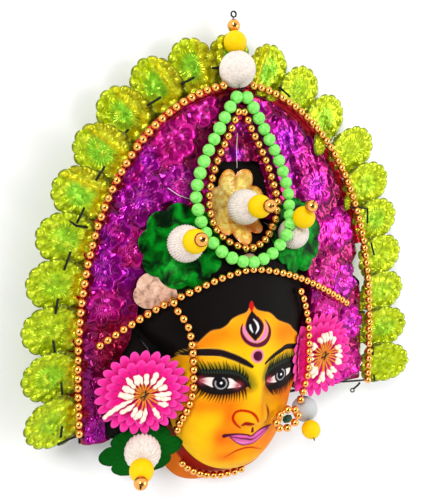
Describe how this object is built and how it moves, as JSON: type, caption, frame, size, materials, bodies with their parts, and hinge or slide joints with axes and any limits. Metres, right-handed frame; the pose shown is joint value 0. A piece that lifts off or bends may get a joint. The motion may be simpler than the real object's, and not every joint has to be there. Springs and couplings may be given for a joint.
{
  "type": "chhau mask",
  "caption": "Painted papier-mache dance mask of a three-eyed goddess with bead strings, balls and an arched crown of foil flowers, lying on its back.",
  "frame": {"origin": "centre of the bounding box at the mask's back, the plane that its open rim lies on", "axes": "+Z out of the face's front, +Y to the top of the crown, +X to the right as one faces the mask"},
  "size_m": [0.275, 0.3098, 0.0744],
  "materials": {
    "painted_face": "glossy painted papier-mache, yellow to orange, with black hair",
    "black_board": "matt black",
    "black_wire": "black",
    "dark_wire": "dark, slightly bright",
    "gold_beads": "metallised gold",
    "green_beads": "pearly lime green",
    "green_foil": "crinkled green foil",
    "amber_plastic": "clear amber",
    "magenta_foil": "crumpled magenta, purple and red foil",
    "lime_foil": "pleated lime foil",
    "peach_cloth": "frayed",
    "pink_cloth": "soft",
    "cream_stamens": "cream tips on orange stems",
    "green_cloth": "dark green",
    "white_ball": "satin white",
    "yellow_ball": "glossy yellow"
  },
  "bodies": {
    "root": {"amber_flower": "amber_plastic", "centre_pin_gold_bead": "gold_beads", "centre_pin_white_ball": "white_ball", "centre_pin_yellow_ball": "yellow_ball", "crown_board": "black_board", "crown_wire": "black_wire", "ear_flower_left": "pink_cloth", "ear_flower_right": "pink_cloth", "ear_leaf_left": "green_cloth", "face_mask": "painted_face", "finial_gold_bead": "gold_beads", "finial_white_ball": "white_ball", "finial_yellow_ball": "yellow_ball", "foil_petal_01": "lime_foil", "foil_petal_02": "lime_foil", "foil_petal_03": "lime_foil", "foil_petal_04": "lime_foil", "foil_petal_05": "lime_foil", "foil_petal_06": "lime_foil", "foil_petal_07": "lime_foil", "foil_petal_08": "lime_foil", "foil_petal_09": "lime_foil", "foil_petal_10": "lime_foil", "foil_petal_11": "lime_foil", "foil_petal_12": "lime_foil", "foil_petal_13": "lime_foil", "foil_petal_14": "lime_foil", "foil_petal_15": "lime_foil", "foil_petal_16": "lime_foil", "foil_petal_17": "lime_foil", "foil_petal_18": "lime_foil", "foil_petal_19": "lime_foil", "foil_petal_20": "lime_foil", "foil_petal_21": "lime_foil", "gold_arch_beads": "gold_beads", "gold_chin_beads": "gold_beads", "gold_hairline_beads": "gold_beads", "gold_side_beads_left": "gold_beads", "gold_side_beads_right": "gold_beads", "gold_teardrop_beads": "gold_beads", "green_foil_flower_left": "green_foil", "green_foil_flower_right": "green_foil", "green_teardrop_beads": "green_beads", "hanging_loop": "dark_wire", "left_ear_pin_gold_bead": "gold_beads", "left_ear_pin_white_ball": "white_ball", "left_ear_pin_yellow_ball": "yellow_ball", "left_pin_gold_bead": "gold_beads", "left_pin_white_ball": "white_ball", "left_pin_yellow_ball": "yellow_ball", "magenta_foil_flowers": "magenta_foil", "nose_ring": "gold_beads", "peach_cloth_patch": "peach_cloth", "right_ear_pin_white_ball": "white_ball", "right_ear_pin_yellow_ball": "yellow_ball", "right_pin_gold_bead": "gold_beads", "right_pin_white_ball": "white_ball", "right_pin_yellow_ball": "yellow_ball", "stamens_left": "cream_stamens", "stamens_right": "cream_stamens"}
  },
  "joints": []
}
